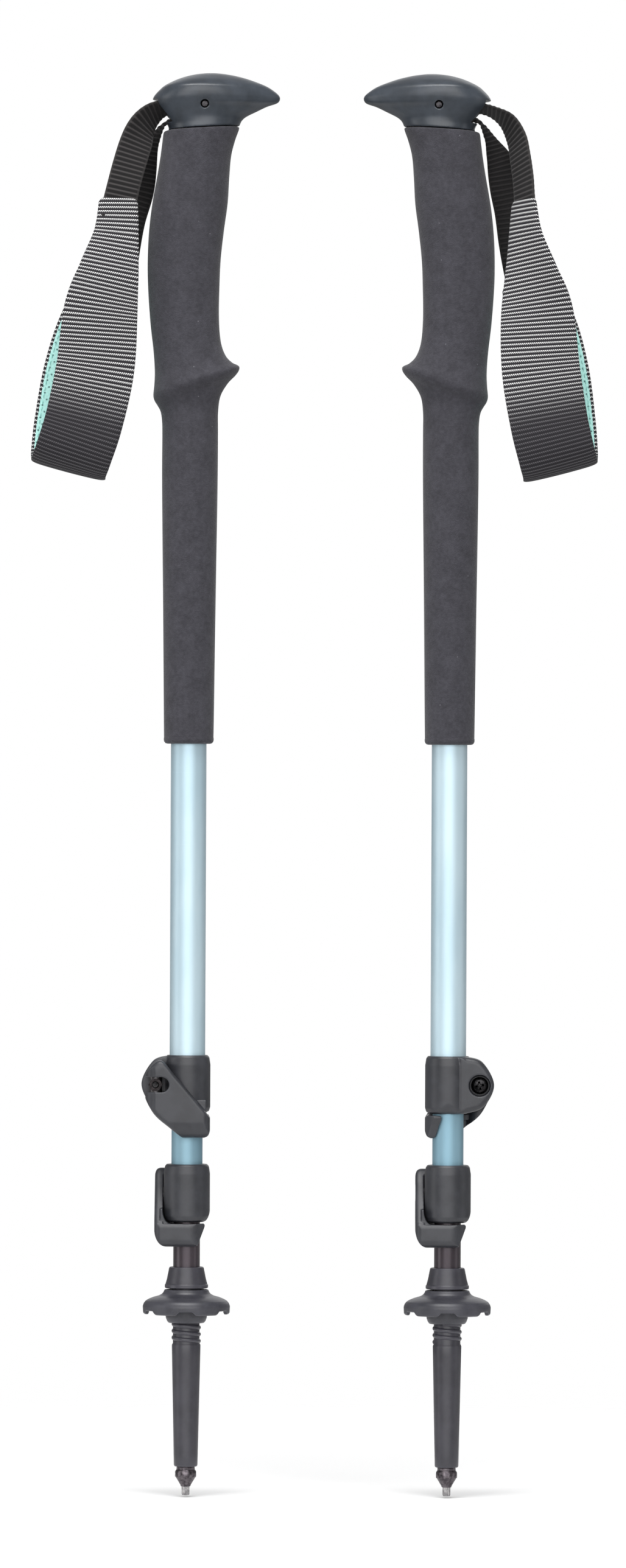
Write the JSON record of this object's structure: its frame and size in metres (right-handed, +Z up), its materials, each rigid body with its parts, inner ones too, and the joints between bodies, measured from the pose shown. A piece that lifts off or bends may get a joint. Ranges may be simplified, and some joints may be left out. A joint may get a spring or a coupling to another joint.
{
  "type": "trekking poles",
  "caption": "Pair of collapsed telescopic trekking poles with foam grips, wrist straps, lever locks, small baskets and carbide tips.",
  "frame": {"origin": "midway under the pair, at the height of the carbide tips", "axes": "+Z up along the shafts, +X from the left pole to the right pole, -Y towards the side the strap faces show"},
  "size_m": [0.256, 0.0406, 0.6406],
  "materials": {
    "head_plastic": "satin moulded, blue grey",
    "grip_foam": "matte closed-cell foam",
    "upper_alloy": "pale ice-blue metallic lacquer",
    "middle_alloy": "aqua metallic anodised",
    "lower_alloy": "dark brown-grey anodised, glossy",
    "lock_plastic": "satin moulded, dark grey",
    "tip_plastic": "satin moulded, dark grey",
    "bush_plastic": "plain black moulded",
    "black_steel": "black oxide",
    "bright_steel": "turned steel",
    "carbide": "dark sintered",
    "webbing": "ribbed black webbing",
    "band_weave": "black and white dotted weave with a mint mesh lining"
  },
  "bodies": {
    "left_upper": {"left_head_cap": "head_plastic", "left_foam_grip": "grip_foam", "left_upper_shaft": "upper_alloy", "left_strap_pin": "bright_steel", "left_strap_wedge": "bush_plastic", "left_strap_tail": "webbing", "left_upper_lock_collar": "lock_plastic", "left_upper_lock_barrel": "bright_steel", "left_upper_lock_nut": "black_steel"},
    "left_strap": {"left_strap_webbing": "webbing", "left_strap_band": "band_weave"},
    "left_upper_lever": {"left_upper_lock_lever": "lock_plastic"},
    "left_upper_screw": {"left_upper_lock_screw": "black_steel"},
    "left_middle": {"left_middle_shaft": "middle_alloy", "left_middle_bush": "bush_plastic", "left_lower_lock_collar": "lock_plastic", "left_lower_lock_barrel": "bright_steel", "left_lower_lock_nut": "black_steel"},
    "left_lower_lever": {"left_lower_lock_lever": "lock_plastic"},
    "left_lower_screw": {"left_lower_lock_screw": "black_steel"},
    "left_lower": {"left_lower_shaft": "lower_alloy", "left_lower_bush": "bush_plastic", "left_flex_tip": "tip_plastic", "left_tip_ferrule": "bright_steel", "left_carbide_tip": "carbide"},
    "left_basket": {"left_basket": "tip_plastic"},
    "right_upper": {"right_head_cap": "head_plastic", "right_foam_grip": "grip_foam", "right_upper_shaft": "upper_alloy", "right_strap_pin": "bright_steel", "right_strap_wedge": "bush_plastic", "right_strap_tail": "webbing", "right_upper_lock_collar": "lock_plastic", "right_upper_lock_barrel": "bright_steel", "right_upper_lock_nut": "black_steel"},
    "right_strap": {"right_strap_webbing": "webbing", "right_strap_band": "band_weave"},
    "right_upper_lever": {"right_upper_lock_lever": "lock_plastic"},
    "right_upper_screw": {"right_upper_lock_screw": "black_steel"},
    "right_middle": {"right_middle_shaft": "middle_alloy", "right_middle_bush": "bush_plastic", "right_lower_lock_collar": "lock_plastic", "right_lower_lock_barrel": "bright_steel", "right_lower_lock_nut": "black_steel"},
    "right_lower_lever": {"right_lower_lock_lever": "lock_plastic"},
    "right_lower_screw": {"right_lower_lock_screw": "black_steel"},
    "right_lower": {"right_lower_shaft": "lower_alloy", "right_lower_bush": "bush_plastic", "right_flex_tip": "tip_plastic", "right_tip_ferrule": "bright_steel", "right_carbide_tip": "carbide"},
    "right_basket": {"right_basket": "tip_plastic"}
  },
  "joints": [
    {"name": "left_strap_swing", "type": "hinge", "parent": "left_upper", "child": "left_strap", "pos_m": [-0.07695, -0.00035, 0.624], "axis": [0, 1, 0], "range_deg": [0, 75]},
    {"name": "left_upper_lever_open", "type": "hinge", "parent": "left_upper", "child": "left_upper_lever", "pos_m": [-0.07015, -0.00975, 0.1852], "axis": [0, 0, -1], "range_deg": [0, 110]},
    {"name": "left_upper_screw_turn", "type": "hinge", "parent": "left_upper", "child": "left_upper_screw", "pos_m": [-0.07015, -0.00035, 0.1852], "axis": [0, 1, 0], "range_deg": [-360, 360]},
    {"name": "left_middle_slide", "type": "slide", "parent": "left_upper", "child": "left_middle", "axis": [0, 0, -1], "range_m": [0, 0.305]},
    {"name": "left_lower_lever_open", "type": "hinge", "parent": "left_middle", "child": "left_lower_lever", "pos_m": [-0.06545, 0.01375, 0.1361], "axis": [0, 0, -1], "range_deg": [0, 110]},
    {"name": "left_lower_screw_turn", "type": "hinge", "parent": "left_middle", "child": "left_lower_screw", "pos_m": [-0.05605, 0.01375, 0.1361], "axis": [1, 0, 0], "range_deg": [-360, 360]},
    {"name": "left_lower_slide", "type": "slide", "parent": "left_middle", "child": "left_lower", "axis": [0, 0, -1], "range_m": [0, 0.305]},
    {"name": "left_basket_unscrew", "type": "hinge", "parent": "left_lower", "child": "left_basket", "pos_m": [-0.05605, -0.00035, 0.085], "axis": [0, 0, 1], "range_deg": [0, 360]},
    {"name": "right_pole_lift", "type": "slide", "parent": "left_upper", "child": "right_upper", "axis": [0, 0, 1], "range_m": [0, 0.7]},
    {"name": "right_strap_swing", "type": "hinge", "parent": "right_upper", "child": "right_strap", "pos_m": [0.08235, -0.00035, 0.624], "axis": [0, -1, 0], "range_deg": [0, 75]},
    {"name": "right_upper_lever_open", "type": "hinge", "parent": "right_upper", "child": "right_upper_lever", "pos_m": [0.07555, 0.00905, 0.1852], "axis": [0, 0, -1], "range_deg": [0, 110]},
    {"name": "right_upper_screw_turn", "type": "hinge", "parent": "right_upper", "child": "right_upper_screw", "pos_m": [0.07555, -0.00035, 0.1852], "axis": [0, -1, 0], "range_deg": [-360, 360]},
    {"name": "right_middle_slide", "type": "slide", "parent": "right_upper", "child": "right_middle", "axis": [0, 0, -1], "range_m": [0, 0.305]},
    {"name": "right_lower_lever_open", "type": "hinge", "parent": "right_middle", "child": "right_lower_lever", "pos_m": [0.05205, 0.01375, 0.1361], "axis": [0, 0, -1], "range_deg": [0, 110]},
    {"name": "right_lower_screw_turn", "type": "hinge", "parent": "right_middle", "child": "right_lower_screw", "pos_m": [0.06145, 0.01375, 0.1361], "axis": [1, 0, 0], "range_deg": [-360, 360]},
    {"name": "right_lower_slide", "type": "slide", "parent": "right_middle", "child": "right_lower", "axis": [0, 0, -1], "range_m": [0, 0.305]},
    {"name": "right_basket_unscrew", "type": "hinge", "parent": "right_lower", "child": "right_basket", "pos_m": [0.06145, -0.00035, 0.085], "axis": [0, 0, 1], "range_deg": [0, 360]}
  ]
}
